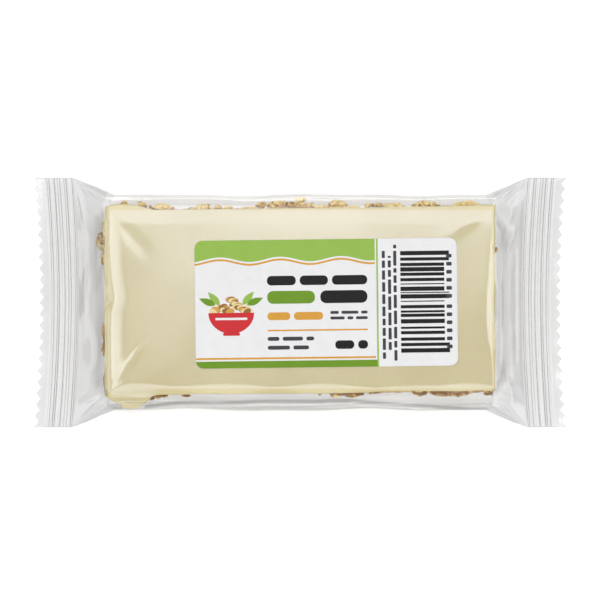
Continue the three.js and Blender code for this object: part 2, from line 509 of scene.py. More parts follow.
def top_folds_at(x, y):
    """The height of the folds in the flat top."""
    total = np.zeros(np.broadcast(x, y).shape)
    for start, end, left, right, height in TOP_FOLDS:
        along, across, length = along_and_across(start, end, x, y)
        spread = lerp(0.35, 1, np.clip(along / length, 0, 1))
        width = np.where(across < 0, left, right) * spread
        fade = window((-1.0, 0.25 * length), (0.5 * length, length), along)
        total = total + height * spread * fade * bump(across, 0, width)
    return total


def line_at(line, at):
    """Where a line through (along, across) points is, at some places along it."""
    along, across = zip(*line)
    return np.interp(at, along, across)


def side_half(x, side):
    """How far the slack side stands out at x."""
    slack = 1 - smooth(WAVES_FADE, SIDE_END, np.abs(x))
    waves = (each["height"] * np.sin(2 * math.pi * x / each["length"] + each[side]) for each in SIDE_WAVES)
    return SIDE_HALF + slack * sum(waves)


def past_edge(columns):
    """How far past the bar's long edge columns lie: 0 on the flat and 1 at the pack's widest line."""
    return np.maximum(0, (np.abs(columns) - FLAT_COLUMNS) / SIDE_COLUMNS)


def of_side(values, sign):
    """The back's value where sign is positive and the front's elsewhere."""
    return np.where(np.asarray(sign) > 0, values["back"], values["front"])


def side_out(columns):
    """How far out these columns lie on a side: 0 at the bar's edge and 1 at the widest line."""
    return np.sin(past_edge(columns) * math.pi / 2) ** (2 / of_side(SHOULDERS, columns))


def side_height(out, sign):
    """The height there, as a share of the side's fall."""
    power, slope = of_side(SHOULDERS, sign), of_side(SIDE_SLOPES, sign)
    curve = np.clip(1 - out**power, 0, 1) ** (1 / power)
    return lerp(curve, 1 - out, slope)


def body_point(is_top, columns, share, x):
    """Place across and height of the film at these columns: share is 0 over the bar and 1 at a fin."""
    edges = TOP_EDGES if is_top else BASE_EDGES
    rise = (TOP_Z if is_top else BACK_SEAL) - MIDDLE_Z
    side = np.where(columns > 0, 1.0, -1.0)
    edge = of_side(edges, columns)
    half = np.where(columns > 0, side_half(x, "back"), side_half(x, "front"))
    beyond = past_edge(columns)
    reach = half - np.abs(edge)
    flare = FILM_HALF - half

    # Flat faces either side of the crease from the bar's corner to the fin's.
    on_flat = edge * np.abs(columns) / FLAT_COLUMNS
    on_side = edge + side * (beyond * reach + np.minimum(share, beyond) * flare)
    gap = np.maximum(1e-9, 1 - beyond)
    past_crease = np.where(share > beyond, (share - beyond) / gap, 0)
    y = lerp(np.where(beyond > 0, on_side, on_flat), columns * COLUMN, past_crease)
    z = MIDDLE_Z + rise * (1 - np.maximum(share, beyond))

    # The side's round bulge and the soft end.
    out = side_out(columns)
    y += side * reach * (out - beyond) * (1 - share)
    z += rise * (side_height(out, columns) - (1 - beyond)) * (1 - share)
    curve = np.where(x > 0, END_CURVES["right" if is_top else "left"], END_CURVES["left"])
    z += rise * (share - share**curve) * (1 - beyond)
    if not is_top:
        low, high = BACK_SEAL_COLUMNS
        z -= BACK_SEAL * window((low - 1, low), (high, high + 1), columns) * (1 - share)
    offset = (0.5 if is_top else -0.5) * FILM_THICKNESS
    return y, z + offset * np.maximum(share, beyond)


def crimp_start(columns):
    return CRIMP_START - BOW * (1 - (columns * COLUMN / FILM_HALF) ** 2)


def body_end(columns):
    return lerp(BAR_END, SIDE_END, past_edge(columns))


def crimp_height(out, columns):
    """The crimp's ridges. The sines' own numbers only make them uneven in depth and along their length."""
    waver = 0.04 * np.sin(columns * 0.25 + 1.2) + 0.006 * np.sin(columns * 0.9)
    phase = 2 * math.pi * (out + waver) / RIDGE_PITCH + 0.5 * np.sin(out * 0.9 + 0.4)
    last = RIDGES * RIDGE_PITCH
    inside = window((-0.4, 0.5), (last - 0.6, last), out)
    groove = ((1 - np.cos(phase)) / 2) ** GROOVE_POWER
    depth = 0.85 + 0.25 * np.sin(out * 2.3 + 0.6 + 0.05 * columns)
    return RIDGE_HEIGHT * inside * depth * (0.85 - 1.8 * groove + 0.15 * np.sin(2 * phase + 1.0))


def flutter(out, columns, end):
    """How far a fin's flat strip waves up and down."""
    wave = FLUTTER * np.array([noise.noise(Vector((c * 0.22, end * 7.0, 0.5))) for c in columns])
    return wave * smooth(FLUTTER_FROM, FIN_DEPTH, out)


def fin_place(is_top, columns, out, end):
    """Film of a fin, out from its first ridge. Every second column runs into a notch between two teeth."""
    off_tip = 1 - np.abs(np.abs(columns) % 2 - 1)
    notch = TOOTH_DEPTH * off_tip * smooth(FIN_DEPTH - TEETH_REACH, FIN_DEPTH, out)
    across = columns * COLUMN / FILM_HALF
    bend = FIN_TWIST * end * across**3 * (out / FIN_DEPTH)
    x = end * (crimp_start(columns) + out - notch)
    offset = (0.25 if is_top else -0.25) * FILM_THICKNESS
    height = MIDDLE_Z + crimp_height(out, columns) + flutter(out, columns, end) + bend + offset
    return x, columns * COLUMN, height


def bar_place(is_top, columns, part, share):
    """Film over the bar, a part of the way out from its middle, or a share of the way on to a fin."""
    x = part * lerp(body_end(columns), crimp_start(columns), share)
    return (x, *body_point(is_top, columns, share, x))


def film_columns():
    inner = np.arange(0, FINE_FROM, COARSE_COLUMN)
    outer = np.arange(FINE_FROM, TEETH + FINE_COLUMN / 2, FINE_COLUMN)
    half = np.concatenate([inner, outer])
    return np.concatenate([-half[:0:-1], half])


def film_ring(place, *at):
    """One ring of film, whose points are place(is_top, columns, *at)."""
    columns = film_columns()
    layers = (place(True, columns, *at), place(False, columns[::-1], *at))
    return np.concatenate([np.column_stack(np.broadcast_arrays(*layer)) for layer in layers])


def film_rings():
    """The rings from the left teeth to the right ones, and each ring's place.

    A place is 0 over the bar, 1 at a fin's first ridge and 2 at its teeth.
    """
    inner = np.arange(0, FINE_X_FROM, COARSE_X)
    outer = np.linspace(FINE_X_FROM, BAR_END, round((BAR_END - FINE_X_FROM) / FINE_X) + 1)
    half = np.concatenate([inner, outer]) / BAR_END
    body = [film_ring(bar_place, part, 0.0) for part in np.concatenate([-half[:0:-1], half])]
    shares = np.linspace(0, 1, END_RINGS + 1)[1:]
    outs = np.linspace(0, FIN_DEPTH, FIN_RINGS + 1)[1:]
    places = np.concatenate([shares, 1 + outs / FIN_DEPTH])

    def end_rings(end):
        rings = [film_ring(bar_place, end, share) for share in shares]
        return rings + [film_ring(fin_place, out, end) for out in outs]

    rings = [*end_rings(-1)[::-1], *body, *end_rings(1)]
    return np.array(rings), np.concatenate([places[::-1], np.zeros(len(body)), places])


def top_relief(x, y):
    """How far the film's flat top, and what is stuck on it, lies above or below its plane."""
    x, y = np.asarray(x, float), np.asarray(y, float)
    wave = FRONT_WAVE["share"] * noise_over(x, 0, 1.5, FRONT_WAVE["size"])
    front_width = PILLOW_WIDTHS["front"] * (1 + wave)
    steps = {
        "back": (TOP_EDGES["back"] - y) / PILLOW_WIDTHS["back"],
        "front": (y - TOP_EDGES["front"]) / front_width,
        "left": (x - line_at(LEFT_LINE, y)) / PILLOW_WIDTHS["left"],
    }
    sinks = [PILLOW[side] * np.clip(1 - step, 0, 1) ** PILLOW_POWER for side, step in steps.items()]
    sinks[-1] += END_SLOPES["left"] * np.clip(line_at(LEFT_LINE, y) - x, 0, END_REACHES["left"])
    sinks.append(END_SLOPES["right"] * np.clip(x - line_at(RIGHT_LINE, y), 0, END_REACHES["right"]))
    slack = SLACK["height"] * noise_over(x, y * 1.4, 5.0, SLACK["size"], 2.2)
    crown = CROWN["height"] * np.minimum(y / CROWN["reach"], 1.1) ** 2
    to_left = np.clip((LEFT_FALL["from"] - x) / LEFT_FALL["reach"], 0, 1.1)
    fall = LEFT_FALL["height"] * to_left**2
    return top_folds_at(x, y) - np.maximum.reduce(sinks) - crown - fall + slack


def film_top(x, y):
    """Height of the film's upper layer over the bar, and near it."""
    x = np.asarray(x, float)
    edge = np.abs(of_side(TOP_EDGES, y))
    out = np.clip((np.abs(y) - edge) / (SIDE_HALF - edge), 0, 1)
    share = np.clip((np.abs(x) - BAR_END) / (CRIMP_START - BOW - BAR_END), 0, 1)
    curve = np.where(x > 0, END_CURVES["right"], END_CURVES["left"])
    rise = (TOP_Z - MIDDLE_Z + top_relief(x, y)) * side_height(out, y)
    return MIDDLE_Z + rise * (1 - share**curve)


def film_normals(points):
    along = np.gradient(points, axis=0)
    around = np.roll(points, -1, axis=1) - np.roll(points, 1, axis=1)
    normals = np.cross(along, around)
    lengths = np.linalg.norm(normals, axis=-1, keepdims=True)
    return normals / np.maximum(lengths, 1e-9)


def wrinkle(points, places, columns, is_top):
    """The film's slack, as a distance out along its normal. Its noise is stretched along the pack."""
    x, y = points[..., 0], points[..., 1]
    share = np.clip(places, 0, 1)[:, None] * np.ones_like(x)
    beyond = past_edge(columns)[None, :] * np.ones_like(x)
    loose = 4 * share * (1 - share)

    layer = is_top * 40.0 + np.sign(x) * 9
    pleats = PLEAT * loose * noise_over(x * 0.22, y, layer, 6.5, 3.1)
    fine = FINE_PLEAT * loose * noise_over(x * 0.22, y, layer, 2.6, 11.7)

    creases = np.where(is_top, end_folds_at(x, y), -0.6 * end_folds_at(-x, y))
    creases *= window((0.0, NEAR_BAR), (0.9, 1.0), share)

    on_side = np.sin(beyond * math.pi) * (1 - share)
    streaks = on_side * noise_over(x * 0.12, beyond * 14, is_top * 30.0 + np.sign(y) * 7, 3.2, 5.3)
    streaks *= of_side(SIDE_STREAKS, y)

    line = FRONT_CREASE["y"] + 0.3 * np.sin(x * 0.11 + 1.2)
    front_crease = is_top * (share == 0) * bump(y, line, 0.5) * (1 - smooth(46, 57, np.abs(x)))

    total = pleats + fine + creases + streaks - FRONT_CREASE["depth"] * front_crease
    return np.where((places > 1)[:, None], 0, total)


def film_materials():
    """The film's materials, in the order of its kinds."""
    loose = {"tint": LOOSE_TINTS, "shine": LOOSE_SHINE, "haze": 0.015, "roughness": 0.12, "relief": 0.03}
    side = {**loose, "tint": SIDE_TINTS, "shine": SIDE_SHINE}
    return [
        film_material("film_on_bar", BAR_TINTS, BAR_SHINE, 0.015, 0.18, 0.05, sheen=(0.82, 0.86, 1, 1)),
        film_material("loose_film", **loose),
        film_material("crimped_film", CRIMP_TINTS, CRIMP_SHINE, 0.03, 0.3, 0.012),
        film_material("film_on_side", **side),
        film_material("film_on_front", **loose, painted_light=FRONT_FOLD_PAINTED_LIGHT),
        film_material("back_seal", CRIMP_TINTS, CRIMP_SHINE, 0.2, 0.3, 0.03),
        film_material("film_at_left", **loose, painted_light=LEFT_END_PAINTED_SHADE),
        film_material("film_at_right", **loose, painted_light=RIGHT_END_PAINTED_SHADE_AND_HIGHLIGHT),
    ]


def film_kinds(points, places, columns, is_top):
    """The kind of film of each quad of the grid, by the quad's first corner."""
    x, y = points[:-1, :, 0], points[:-1, :, 1]
    ring = np.where(places > 1, CRIMPED, np.where(places > 0.02, LOOSE, ON_BAR))
    ring = np.maximum(ring[:-1], ring[1:])[:, None]
    by_bar = np.minimum(places[:-1], places[1:])[:, None] < NEAR_BAR
    over_bar, past_bar = ring == ON_BAR, ring == LOOSE
    back, front = columns > SIDE_FROM, columns < -SIDE_FROM
    seal = (columns >= BACK_SEAL_COLUMNS[0]) & (columns <= BACK_SEAL_COLUMNS[1])
    drip_half = DRIP["half_x"] + DRIP["slope"] * (y - DRIP["y"])
    on_drip = (np.abs(x - DRIP["x"]) < drip_half) & (np.abs(y - DRIP["y"]) < DRIP["half_y"])
    cases = (
        (on_drip & is_top, ON_BAR),
        (over_bar & back, ON_SIDE),
        (past_bar & by_bar & is_top & ~front, ON_SIDE),
        (over_bar & is_top & front, ON_FRONT),
        (over_bar & ~is_top & seal, ON_SEAL),
        (past_bar & is_top & (x < 0), AT_LEFT),
        (past_bar & is_top, AT_RIGHT),
    )
    conditions = np.broadcast_arrays(*(condition for condition, _ in cases))
    rest = np.where(front, np.maximum(ring, LOOSE), ring)
    return np.select(conditions, [kind for _, kind in cases], rest)


def make_film():
    rings, places = film_rings()
    rows, count = rings.shape[:2]
    columns = film_columns()
    columns = np.concatenate([columns, columns[::-1]])
    is_top = np.arange(count) < count // 2

    normals = film_normals(rings)
    points = rings + normals * wrinkle(rings, places, columns, is_top)[..., None]
    flat_share = side_height(side_out(columns), columns) * (1 - np.clip(places, 0, 1))[:, None]
    points[..., 2] += is_top * flat_share * top_relief(rings[..., 0], rings[..., 1])

    faces = grid_faces(rows, count, close_columns=True)
    kinds = film_kinds(points, places, columns, is_top).ravel().tolist()
    last = (rows - 1) * count
    for i in range(count // 2 - 1):
        below = count - 1 - i
        faces.append((i, i + 1, below - 1, below))
        faces.append((last + below, last + below - 1, last + i + 1, last + i))
        kinds += [CRIMPED, CRIMPED]
    film = mesh_piece("film", points.reshape(-1, 3), faces, film_materials(), indices=kinds)
    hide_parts("wrapper")


# ----------------------------------------
# The bar.

BASE_LOW = 0.9
BASE_HIGH = 13.0
BASE_SIDES = {"left": -58.9, "right": 58.9, "front": -27.1, "back": 28.2}
BASE_STEPS = (96, 46, 10)  # quads along, across and up
BASE_ROUNDING = 1.6
COATING_TOP = 14.75
GROOVE = {"depth": 0.13, "width": 0.45}  # of a flake: share of its thickness, and millimetres
DOME_POWER = 2.6  # 2 would make a flake an ellipsoid, and more makes it flatter
FLAKE_STEP = 2.5  # between two flakes of a row on the base's sides
FLAKE_ROWS = 5
UNDER_FLAKES = (27, 12)  # how many lie along and across the underside
MEAN_STREAK = 1.65  # about what the material's streaks add to a tone
FLAKES_GAP = {"film": 0.9, "coating": 1.2}  # least distance to the film, and to the coating's upper side
FLAKES_FRONT, FLAKES_BACK, FLAKES_LOW = -31.6, 32.3, 0.55  # no flake reaches past these

# The flakes that show round the coating: x, y, half length and width, turn in degrees and tone.
EDGE_FLAKES = (
    (-53.8, 30.6, 0.9, 0.7, 0, 0.3), (-48.2, 29.9, 1.8, 0.8, -30, 0.55), (-45.2, 29.0, 1.3, 0.4, -35, 0.1),
    (-41.8, 29.4, 2.8, 0.9, -4, 0.85), (-29.6, 29.2, 2.4, 1.1, 4, 0.7), (-25.0, 29.1, 1.4, 0.7, 0, 0.6),
    (-21.9, 29.0, 1.4, 0.6, 0, 0.65), (-15.8, 28.9, 2.4, 0.5, 0, 0.6), (-12.0, 29.9, 1.5, 1.0, 8, 0.5),
    (-6.8, 30.0, 3.6, 1.05, 3, 0.6), (-1.2, 29.9, 4.0, 0.95, -3, 0.55), (0.4, 31.7, 1.7, 0.65, 3, 1),
    (3.4, 29.6, 1.1, 0.7, 0, 0.45), (6.4, 29.2, 2.2, 0.8, 5, 0.7), (11.4, 30.0, 2.9, 1.45, 0, 0.7),
    (16.4, 29.2, 2.0, 0.6, 0, 0.8), (20.8, 29.8, 1.0, 0.6, 0, 0.6), (23.6, 29.9, 1.8, 0.75, -5, 0.4),
    (28.8, 29.8, 3.2, 0.95, -4, 0.8), (38.2, 30.0, 3.7, 1.2, 2, 0.55), (41.8, 29.6, 1.3, 0.6, -8, 0.5),
    (44.6, 29.4, 1.5, 0.35, 0, 0.5), (48.4, 29.9, 2.2, 0.9, 6, 0.8), (51.8, 30.3, 2.2, 1.0, -4, 0.75),
    (54.0, 29.9, 1.0, 0.6, 0, 0.6),
    (6.1, -28.2, 0.4, 0.3, 0, -0.05), (11.0, -28.2, 2.2, 0.8, 0, 0.25), (16.2, -28.2, 3.2, 0.95, 3, 0.05),
    (36.6, -27.6, 2.2, 1.1, -6, -0.25), (43.4, -27.8, 3.6, 1.15, -3, -0.05), (48.8, -27.8, 3.6, 1.05, 4, 0),
    (57.6, -27.8, 1.3, 0.6, 10, -0.25), (-45.1, -29.3, 1.0, 0.5, 20, -0.05), (-43.3, -28.9, 1.1, 0.45, 10, 0),
    (-41.5, -28.7, 1.1, 0.4, 0, -0.05), (-34.8, -28.6, 1.4, 0.35, 0, 0.05),
    (-61.1, 18.6, 2.8, 1.4, 94, 0.6), (-60.4, 13.8, 2.2, 0.7, 80, 0.65), (-60.1, 23.4, 2.2, 0.6, 92, 0.75),
    (-60.3, -9.0, 2.4, 0.6, 92, 0.5), (-60.2, -14.0, 2.2, 0.6, 88, 0.45), (-59.9, -23.6, 2.4, 0.3, 90, -0.2),
    (60.0, 16.2, 0.8, 0.5, 80, 0.4),
)
EDGE_DEPTH = 1.5  # how far under the film their middles lie
EDGE_FALL = 0.3  # how steeply they fall away outwards
CRUMBS_PER_MM = 5  # round each of them
COATING_EDGE_PAINTED_SHADE = 0.5  # painted shade: how much darker they are next to the coating, and how much paler away from it
RIM_TONE = 0.45  # how much darker the rim of each other flake is


def make_oat_base(material):
    """The pressed block that the flakes are part of: a lumpy box with rounded edges."""
    index, faces = {}, []
    for axis in range(3):
        a, b = (axis + 1) % 3, (axis + 2) % 3
        for side in (0, BASE_STEPS[axis]):
            for i, j in product(range(BASE_STEPS[a]), range(BASE_STEPS[b])):
                quad = []
                for di, dj in ((0, 0), (1, 0), (1, 1), (0, 1)):
                    key = [0, 0, 0]
                    key[axis], key[a], key[b] = side, i + di, j + dj
                    quad.append(index.setdefault(tuple(key), len(index)))
                faces.append(quad if side else quad[::-1])

    low = np.array([BASE_SIDES["left"], BASE_SIDES["front"], BASE_LOW])
    high = np.array([BASE_SIDES["right"], BASE_SIDES["back"], BASE_HIGH])
    box = lerp(low, high, np.array(list(index)) / BASE_STEPS)
    inner = np.clip(box, low + BASE_ROUNDING, high - BASE_ROUNDING)
    out = box - inner
    normals = out / np.linalg.norm(out, axis=1, keepdims=True)
    points = inner + normals * BASE_ROUNDING
    lumps = 0.45 * noise_at(points, 4.5) + 0.25 * noise_at(points, 1.8, 4.0)
    points += normals * lumps[:, None]
    oat_piece("oat_base", points, faces, material, 0.5 * noise_at(points, 3.0, 9.0) - 1.2)


def flake_shape(rng, long, wide, thick, rings=3, segments=11):
    """One rolled oat round its own centre: an oval disc with a groove along its upper side.

    Gives its points, its faces and for each point 0 in the middle to 1 on the rim.
    """
    bend, twist = rng.uniform(-0.05, 0.07), rng.uniform(-0.03, 0.03)
    wobble = [rng.uniform(0.76, 1.14) for _ in range(segments)]
    share = np.append(0, np.repeat(np.arange(1, rings + 1), segments) / rings)
    turn = np.append(0, np.tile(np.arange(segments), rings)) * 2 * math.pi / segments
    edge = np.append(1, np.tile(wobble, rings))
    radius = share**0.75 * np.where(share < 1, (1 + edge) / 2, edge)
    inside, grow = np.minimum(radius, 1), np.maximum(radius, 1)
    x, y = long * inside * np.cos(turn), wide * inside * np.sin(turn)
    lift = bend * x * x + twist * x * y
    half_thick = thick * np.sqrt(1 - inside**DOME_POWER)
    groove = GROOVE["depth"] * thick * bump(y, 0, GROOVE["width"])
    sides = (lift + half_thick - groove, lift - half_thick)
    points = np.concatenate([np.stack([x * grow, y * grow, z], axis=-1) for z in sides])

    faces, half = [], len(share)
    for start, step in ((0, 1), (half, -1)):
        for s in range(segments):
            n = (s + 1) % segments
            faces.append((start, start + 1 + s, start + 1 + n)[::step])
            for a in range(start + 1, start + half - segments, segments):
                b = a + segments
                faces.append((a + s, b + s, b + n, a + n)[::step])
    top = half - segments
    for s in range(segments):
        n = (s + 1) % segments
        faces.append((top + s, half + top + s, half + top + n, top + n))
    return points, faces, np.tile(share, 2) ** 3


def turned(points, normal, spin, tilt_axis=(1, 0, 0), tilt=0.0):
    """Points of a flake, spun, laid with its face towards normal, and then tilted."""
    lay = Vector(normal).to_track_quat("Z", "Y").to_matrix()
    rotation = Matrix.Rotation(tilt, 3, Vector(tilt_axis)) @ lay @ Matrix.Rotation(spin, 3, "Z")
    return points @ np.array(rotation).T


def flake_places(rng):
    """Centre, outward direction, tilt and tone of each flake of the block's own surface."""
    places = []
    for side, axis, sign in (("left", 0, -1), ("right", 0, 1), ("front", 1, -1), ("back", 1, 1)):
        start, end = (BASE_SIDES[name] for name in (("left", "right") if axis else ("front", "back")))
        outward = np.zeros(3)
        outward[axis] = sign
        count = round((end - start) / FLAKE_STEP)
        for row, k in product(range(FLAKE_ROWS), range(count)):
            centre = outward * (abs(BASE_SIDES[side]) - 0.4)
            centre[1 - axis] = lerp(start + 1, end - 1, (k + 0.5) / count) + rng.uniform(-1.2, 1.2)
            up = row / (FLAKE_ROWS - 1)
            centre[2] = lerp(BASE_LOW + 1.2, BASE_HIGH - 1.2, up) + rng.uniform(-0.7, 0.7)
            places.append((centre, outward, rng.uniform(-0.45, 0.45), 0.78))
    for i, j in product(*map(range, UNDER_FLAKES)):
        x = lerp(-57, 57, (i + 0.5) / UNDER_FLAKES[0]) + rng.uniform(-1.4, 1.4)
        y = lerp(-26, 27, (j + 0.5) / UNDER_FLAKES[1]) + rng.uniform(-1.4, 1.4)
        places.append((np.array([x, y, BASE_LOW + 0.1]), (0, 0, -1), rng.uniform(-0.12, 0.12), 0.5))
    return places


def edge_flakes(rng):
    """Placed points, faces and tones of the flakes round the coating and of the crumbs that stick to them."""
    for x, y, long, wide, degrees, tone in EDGE_FLAKES:
        at_end = abs(x) > BASE_SIDES["right"] + 0.5
        outward = np.array([math.copysign(1, x), 0, 0] if at_end else [0, math.copysign(1, y), 0])
        c, s = math.cos(math.radians(degrees)), math.sin(math.radians(degrees))
        centre = np.array([x, y, 0]) - outward * 0.3 * wide
        height = float(film_top(x, y)) - EDGE_DEPTH
        shape, faces, _ = flake_shape(rng, long * 1.12, wide * 1.35, 0.3 + 0.25 * wide, 7, 26)
        shape[:, 1] *= 1 - 0.5 * np.clip(np.abs(shape[:, 0]) / long, 0, 1) ** 2
        for rough, grain_size in ((0.3, 1.1), (0.16, 0.45)):
            shape += rough * noise_at(shape + centre, grain_size)[:, None] * np.array([0.8, 0.8, 1.3])
        lying = shape @ np.array([[c, s, 0], [-s, c, 0], [0, 0, 1]])
        away = lying @ outward
        lying[:, 2] += height - EDGE_FALL * away
        # The tone is darker next to the coating and paler away from it: painted shade from the coating's
        # edge.
        yield lying + centre, faces, tone + COATING_EDGE_PAINTED_SHADE * np.clip(away / wide - 0.4, -1, 0.6)
        for _ in range(round(long * CRUMBS_PER_MM)):
            along = rng.uniform(-1, 1)
            out = wide * math.sqrt(1 - along**2) * rng.uniform(0.5, 1.05)
            size = rng.uniform(0.1, 0.3) * min(1, wide)
            crumb, faces, _ = flake_shape(rng, size * 1.9, size * 1.4, size)
            place = centre + outward * out + np.array([c, s, 0]) * along * long
            place[2] = height + rng.uniform(-0.1, 0.4) - EDGE_FALL * out
            normal = (rng.uniform(-1, 1), rng.uniform(-1, 1), 1.2)
            crumb = turned(crumb, normal, rng.uniform(0, 6))
            yield crumb + place, faces, np.full(len(crumb), tone + rng.uniform(-0.3, 0.4))


def block_flakes(rng):
    """Placed points, faces and tones of the flakes on the block's sides and underside."""
    for centre, normal, tilt, tone in flake_places(rng):
        long, wide, thick = rng.uniform(2.0, 3.3), rng.uniform(1.3, 2.1), rng.uniform(0.45, 0.75)
        shape, faces, rims = flake_shape(rng, long, wide, thick, 3, 14)
        axis = (1, rng.uniform(-1, 1), 0) if normal[2] else (normal[1], -normal[0], rng.uniform(-0.3, 0.3))
        placed = turned(shape, normal, rng.uniform(0, 2 * math.pi), axis, tilt) + centre
        placed[:, 2] = np.maximum(placed[:, 2], FLAKES_LOW)
        yield placed, faces, tone + rng.uniform(-0.4, 0.4) - RIM_TONE * rims


def make_flakes(material):
    rng = random.Random(SEED)
    for name, flakes in (("oat_flakes", block_flakes), ("edge_flakes", edge_flakes)):
        join_flakes(name, flakes(rng), material)


def join_flakes(name, flakes, material):
    """One piece of many flakes, all of them kept inside the film and below the coating's top."""
    points, faces, tones = [], [], []
    for placed, flake_faces, flake_tones in flakes:
        start = len(points)
        points.extend(placed)
        faces.extend(tuple(start + i for i in face) for face in flake_faces)
        tones.extend(flake_tones)
    points = np.array(points)
    below_film = film_top(points[:, 0], points[:, 1]) - FLAKES_GAP["film"]
    below_coating = COATING_TOP - FLAKES_GAP["coating"]
    points[:, 2] = np.minimum(points[:, 2], np.minimum(below_film, below_coating))
    points[:, 1] = np.clip(points[:, 1], FLAKES_FRONT, FLAKES_BACK)
    oat_piece(name, points, faces, material, np.array(tones) - MEAN_STREAK)


# The coating's outline, as (x along, y across) on each side.
COATING_BACK = (
    (-59.9, 29.0), (-59, 29.4), (-57, 29.85), (-54, 30.1), (-50, 29.65), (-47, 28.85), (-44.7, 28.2),
    (-37, 28.3), (-20, 28.6), (0, 28.8), (25, 29.0), (45, 29.4), (60, 29.9),
)
COATING_FRONT = (
    (-59.7, -28.6), (-58.4, -29.4), (-56.6, -30.5), (-55.3, -31.1), (-54.7, -32.3), (-52.0, -32.5),
    (-49.2, -32.4), (-48.5, -31.4), (-47.3, -30.6), (-46.6, -29.8), (-45.9, -29.3), (-45.2, -28.4),
    (-43.5, -28.2), (-25, -27.8), (12, -27.7), (30, -27.0), (60, -26.9),
)
COATING_LEFT, COATING_RIGHT = -59.7, 59.5
COATING_MIDDLE = (0, 0.8)
COATING_POINTS = (181, 81)  # along and across
COATING_SKIRT = ((0.5, -0.12), (1.0, -0.05), (1.6, 0.15), (2.4, 0.7))  # steps down its edge: drop and inset
COATING_ROLL = {"reach": 0.4, "drop": 0.22}  # its round upper edge
COATING_SLOPE = {"reach": 5, "drop": 0.3}  # its flatter fall towards that edge
COATING_GAP = 0.3  # least distance to the film
COATING_RELIEF = 0.45  # how much of the film's own relief it follows


def coating_shares(count):
    """Places from -1 to 1, closer together towards both ends."""
    turns = np.linspace(-1, 1, count) * math.pi / 2 * 0.98
    return np.sin(turns) / np.sin(turns[-1])


def make_coating(material):
    """A sheet over the bar's top, whose edge is turned down and closed below."""
    u, v = np.meshgrid(*map(coating_shares, COATING_POINTS), indexing="ij")
    x = lerp(COATING_LEFT, COATING_RIGHT, (u + 1) / 2)
    wobble = 0.25 * noise_over(x, 3.3, 0, 5.0) + 0.12 * noise_over(x, 8.3, 0, 1.7)
    front, back = line_at(COATING_FRONT, x), line_at(COATING_BACK, x)
    y = lerp(front + wobble, back + wobble * 0.5, (v + 1) / 2)
    x = x + 0.3 * noise_over(y, 0, 2.0, 9.0) * np.abs(u) ** 6
    to_edge = np.minimum.reduce([y - front, back - y, x - COATING_LEFT, COATING_RIGHT - x])
    roll = 1 - np.sqrt(1 - (1 - np.clip(to_edge / COATING_ROLL["reach"], 0, 1)) ** 2)
    slope = COATING_SLOPE["drop"] * (1 - smooth(0, COATING_SLOPE["reach"], to_edge))
    z = COATING_TOP - slope + top_relief(x, y) * COATING_RELIEF
    z = np.minimum(z, film_top(x, y) - COATING_GAP) - roll * COATING_ROLL["drop"]
    top = np.stack([x, y, z], axis=-1)

    rows, columns = u.shape
    rim = [(i, 0) for i in range(rows)] + [(rows - 1, j) for j in range(1, columns)]
    rim += [(i, columns - 1) for i in range(rows - 2, -1, -1)] + [(0, j) for j in range(columns - 2, 0, -1)]
    i, j = np.array(rim).T
    edge = top[i, j]
    outward = np.sign(edge[:, :2] - COATING_MIDDLE)
    outward *= np.stack([(i == 0) | (i == rows - 1), (j == 0) | (j == columns - 1)], axis=-1)
    uneven = 0.6 * noise_over(edge[:, 0] * 0.23, edge[:, 1] * 0.23, 4.0, 1)
    points, faces = [*top.reshape(-1, 3)], grid_faces(rows, columns)
    ring = (i * columns + j).tolist()
    depth = COATING_SKIRT[-1][0]
    for drop, inset in COATING_SKIRT:
        below = list(range(len(points), len(points) + len(ring)))
        fall = drop * (1 + uneven * drop / depth)
        points.extend(np.column_stack([edge[:, :2] - outward * inset, edge[:, 2] - fall]))
        faces.extend(zip(ring, below, below[1:] + below[:1], ring[1:] + ring[:1]))
        ring = below
    middle = len(points)
    points.append((*COATING_MIDDLE, COATING_TOP - depth - 0.3))
    faces.extend((start, middle, end) for start, end in zip(ring, ring[1:] + ring[:1]))
    piece = mesh_piece("coating", points, faces, [material])


# ----------------------------------------
# The label. Its print is drawn round its own middle, in millimetres, and then turned into place.

LABEL = {"length": 80, "width": 39, "corner": 2.4, "x": 8, "y": -0.2, "turn": 0.7}
LABEL_STEP = 3  # between the points that let the print follow the film
OVAL_POINTS = 12
GRAIN_STEPS = 7
BOWL = {"x": -29.0, "rim": -2.6, "half_width": 7.0, "depth": 6.4}
LEAVES = ((2.3, "green"), (0.85, "green"), (2.75, "green_dark"), (0.4, "green_dark"))  # direction and ink
HEAP = {"flakes": 30, "half_width": 5.6, "height": 4.4}
SMALL_PRINT = ((17.1, -17.2, 17.0), (18.9, -14.5, 14.2), (20.6, -17.8, 17.6))  # x, low and high end
CODE = {"module": 0.33, "low": -15.4, "high": 16.3, "left": 22.7, "right": 36.1, "guard_right": 37.6}
DIVIDER = (15.4, 15.9)  # between the front of the label and its code
HEAD = 13.6  # height of the top band's lower edge
HEAD_WAVE = (0.75, 18.5)  # how far that edge waves, and how long a wave is
FOOT = -17.4
LINE = 0.6  # width of the two gold lines


def rounded(x0, y0, x1, y1, radius=0.0, steps=4):
    """A rectangle's outline, with round corners."""
    if radius <= 0:
        return [(x0, y0), (x1, y0), (x1, y1), (x0, y1)]
    radius = min(radius, (x1 - x0) / 2 - 1e-3, (y1 - y0) / 2 - 1e-3)
    left, right, low, high = x0 + radius, x1 - radius, y0 + radius, y1 - radius
    outline = []
    for quarter, (x, y) in enumerate(((right, high), (left, high), (left, low), (right, low))):
        for k in range(steps + 1):
            turn = (quarter + k / steps) * math.pi / 2
            outline.append((x + radius * math.cos(turn), y + radius * math.sin(turn)))
    return outline


